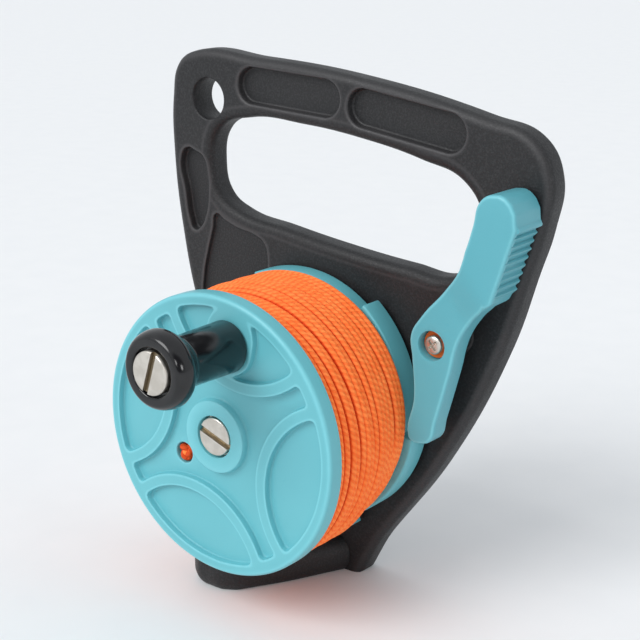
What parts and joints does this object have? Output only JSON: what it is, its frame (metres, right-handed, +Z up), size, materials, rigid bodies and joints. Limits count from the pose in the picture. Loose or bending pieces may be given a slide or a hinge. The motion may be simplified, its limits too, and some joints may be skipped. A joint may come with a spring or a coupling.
{
  "type": "dive reel",
  "caption": "Hand-held dive reel: a spool of line with a crank knob and ratchet teeth, on a moulded handle plate with a thumb lever and a line-guide foot.",
  "frame": {"origin": "on the ground under the foot, straight below the spool's axis, in the handle plate's middle plane", "axes": "+X to the right as the spool's face is seen, towards the thumb lever; +Y back from the spool to the plate, along the spool's axis; +Z up"},
  "size_m": [0.1323, 0.0845, 0.1526],
  "materials": {
    "black_plastic": "fine-grained black moulded plastic",
    "gloss_black": "polished black plastic",
    "turquoise_plastic": "satin turquoise moulded plastic",
    "nickel_steel": "turned nickel-plated steel",
    "sleeve_brass": "plain turned brass",
    "orange_line": "braided orange line",
    "orange_washer": "orange plastic washer"
  },
  "bodies": {
    "frame": {"handle_plate": "black_plastic", "line_guide_foot": "black_plastic", "spindle_bolt": "nickel_steel", "spindle_washer": "nickel_steel", "spindle_sleeve": "sleeve_brass", "spool_spacer": "nickel_steel", "spindle_nut": "nickel_steel", "lever_screw": "nickel_steel", "lever_washer": "orange_washer", "lever_spring": "nickel_steel"},
    "spool": {"spool_front_flange": "turquoise_plastic", "spool_ratchet_flange": "turquoise_plastic", "spool_drum": "turquoise_plastic", "line_core": "orange_line", "line_winding": "orange_line", "line_knot": "orange_line", "knob_screw": "nickel_steel", "knob_nut": "nickel_steel"},
    "knob": {"crank_knob": "gloss_black"},
    "lever": {"thumb_lever": "turquoise_plastic"}
  },
  "joints": [
    {"name": "spool_spin", "type": "hinge", "parent": "frame", "child": "spool", "pos_m": [0, -0.025, 0.0545], "axis": [0, 1, 0], "continuous": true},
    {"name": "knob_spin", "type": "hinge", "parent": "spool", "child": "knob", "pos_m": [0.00554, -0.06, 0.0815], "axis": [0, 1, 0], "continuous": true},
    {"name": "lever_pivot", "type": "hinge", "parent": "frame", "child": "lever", "pos_m": [0.04765, -0.012, 0.08137], "axis": [0, -1, 0], "range_deg": [0, 12], "stiffness_Nm_per_rad": 0.15, "springref_deg": -17.19, "deforming": ["lever_spring"]}
  ]
}
